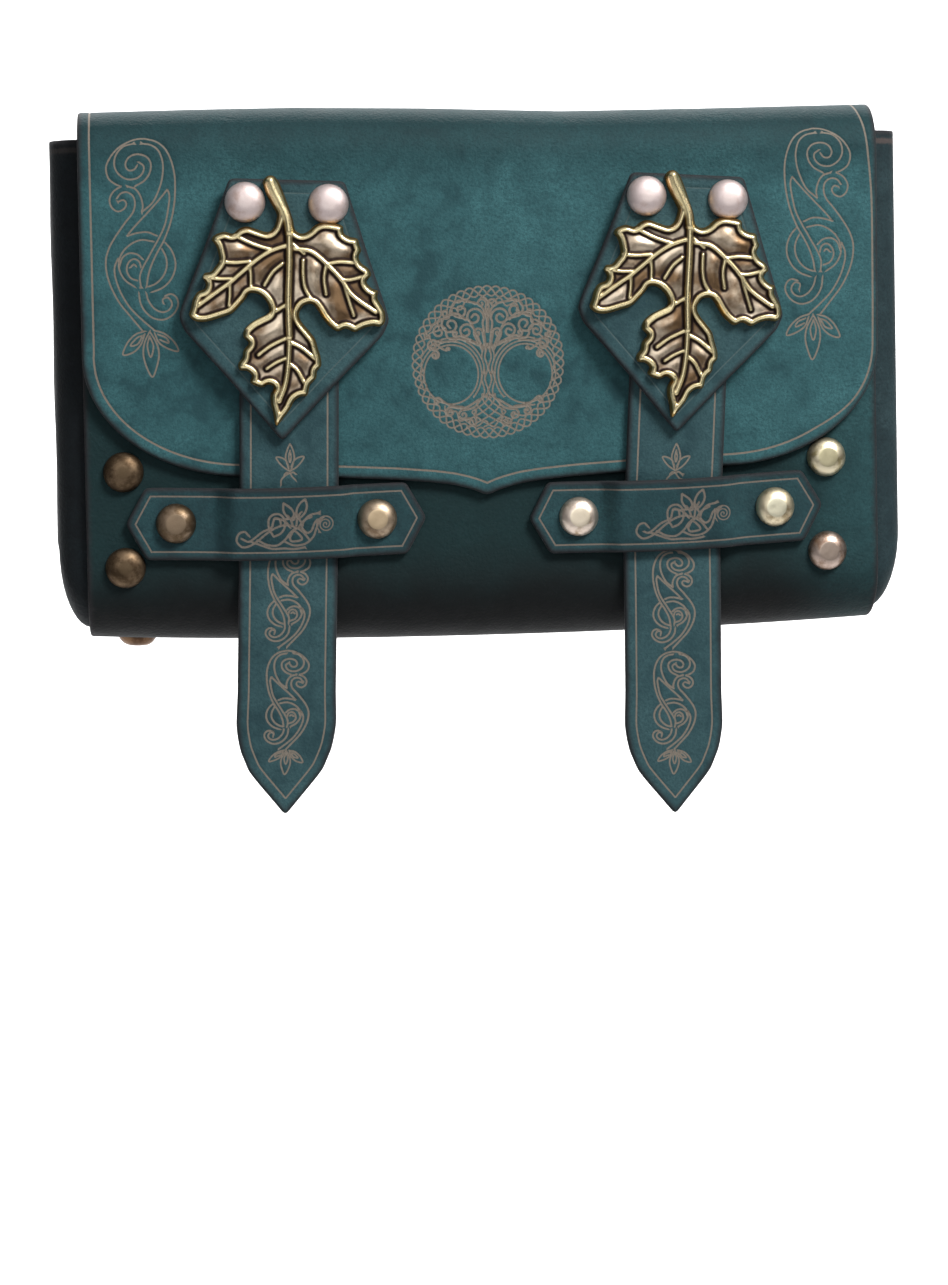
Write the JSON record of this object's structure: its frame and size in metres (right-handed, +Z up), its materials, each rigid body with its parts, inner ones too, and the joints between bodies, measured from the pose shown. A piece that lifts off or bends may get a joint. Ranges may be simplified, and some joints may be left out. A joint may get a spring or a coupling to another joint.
{
  "type": "medieval belt pouch",
  "caption": "Flat riveted leather belt pouch with a wide flap, strap-and-keeper closure, cast leaf ornaments and loops for a waist belt.",
  "frame": {"origin": "middle of the waist belt that carries the pouch, in the belt gap behind the back panel", "axes": "+X to the right seen from the front, -Y towards the front, +Z up"},
  "size_m": [0.2162, 0.0655, 0.1795],
  "materials": {
    "teal_leather": "vegetable tanned, dyed teal, satin",
    "dark_leather": "vegetable tanned, dyed near-black teal, satin",
    "strap_leather": "vegetable tanned, dyed teal, satin, dark burnished edges",
    "cast_brass": "antiqued, polished high spots",
    "rivet_silver": "silver plated, satin",
    "rivet_brass": "antiqued satin"
  },
  "bodies": {
    "root": {"body": "teal_leather", "gusset_left": "dark_leather", "gusset_right": "dark_leather", "patch_left": "strap_leather", "patch_right": "strap_leather", "leaf_left": "cast_brass", "leaf_right": "cast_brass", "strap_left": "strap_leather", "strap_right": "strap_leather", "keeper_left": "teal_leather", "keeper_right": "teal_leather", "belt_loop_left": "dark_leather", "belt_loop_right": "dark_leather", "patch_rivet_left_a": "rivet_silver", "patch_rivet_left_b": "rivet_silver", "patch_rivet_right_a": "rivet_silver", "patch_rivet_right_b": "rivet_silver", "keeper_rivet_left_a": "rivet_brass", "keeper_rivet_left_b": "rivet_brass", "keeper_rivet_right_a": "rivet_brass", "keeper_rivet_right_b": "rivet_brass", "side_rivet_left_upper": "rivet_brass", "side_rivet_left_lower": "rivet_brass", "side_rivet_right_upper": "rivet_brass", "side_rivet_right_lower": "rivet_brass", "back_rivet_left_upper": "rivet_brass", "back_rivet_left_middle": "rivet_brass", "back_rivet_left_lower": "rivet_brass", "back_rivet_right_upper": "rivet_brass", "back_rivet_right_middle": "rivet_brass", "back_rivet_right_lower": "rivet_brass", "base_rivet_left": "rivet_brass", "loop_rivet_left_upper": "rivet_brass", "loop_rivet_left_lower": "rivet_brass", "loop_rivet_right_upper": "rivet_brass", "loop_rivet_right_lower": "rivet_brass"}
  },
  "joints": []
}
